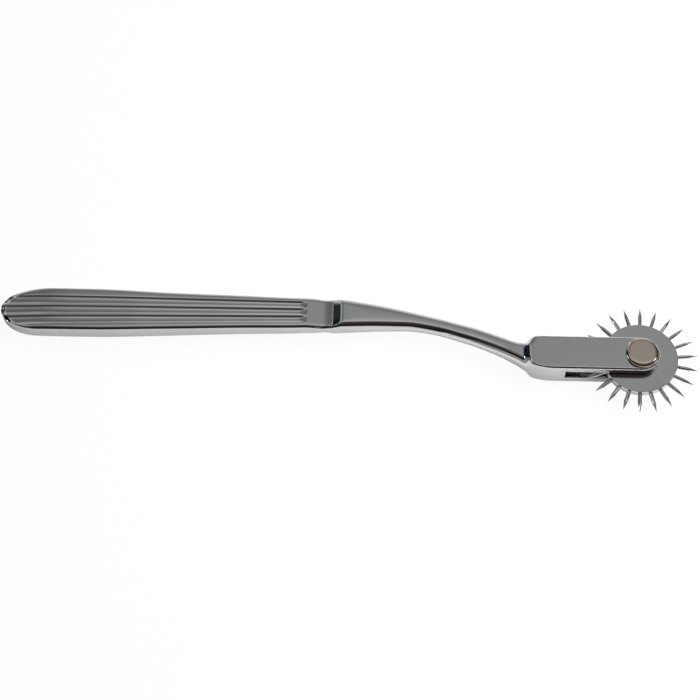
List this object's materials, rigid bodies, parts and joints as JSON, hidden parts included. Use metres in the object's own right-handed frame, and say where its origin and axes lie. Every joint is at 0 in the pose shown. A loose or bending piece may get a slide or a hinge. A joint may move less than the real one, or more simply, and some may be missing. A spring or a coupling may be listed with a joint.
{
  "type": "neurological pinwheel",
  "caption": "Hand-held sensory testing wheel: a slim fluted handle with a curved shank and a slotted fork that carries a free-turning disc of sharp radial pins on a riveted axle.",
  "frame": {"origin": "where the wheel's axle line meets the flat face of the rivet's lower head; the instrument lies on its side", "axes": "+X from the handle's butt towards the wheel, parallel to the handle and to the fork; +Z along the axle, upwards; +Y away from the side that the shank bends to"},
  "size_m": [0.1906, 0.0333, 0.0105],
  "materials": {
    "forging_steel": "mirror-polished plated steel, with a softly ground grain",
    "disc_steel": "plated steel with a fine satin polish",
    "pin_steel": "bright polished steel with ground points",
    "rivet_nickel": "warm nickel, smooth with a low domed edge"
  },
  "bodies": {
    "handle": {"forged_handle": "forging_steel", "axle_rivet": "rivet_nickel"},
    "wheel": {"wheel_disc": "disc_steel", "pin_01": "pin_steel", "pin_02": "pin_steel", "pin_03": "pin_steel", "pin_04": "pin_steel", "pin_05": "pin_steel", "pin_06": "pin_steel", "pin_07": "pin_steel", "pin_08": "pin_steel", "pin_09": "pin_steel", "pin_10": "pin_steel", "pin_11": "pin_steel", "pin_12": "pin_steel", "pin_13": "pin_steel", "pin_14": "pin_steel", "pin_15": "pin_steel", "pin_16": "pin_steel", "pin_17": "pin_steel", "pin_18": "pin_steel", "pin_19": "pin_steel", "pin_20": "pin_steel", "pin_21": "pin_steel", "pin_22": "pin_steel"}
  },
  "joints": [
    {"name": "wheel_spin", "type": "hinge", "parent": "handle", "child": "wheel", "pos_m": [0, 0, 0.00525], "axis": [0, 0, 1], "continuous": true}
  ]
}
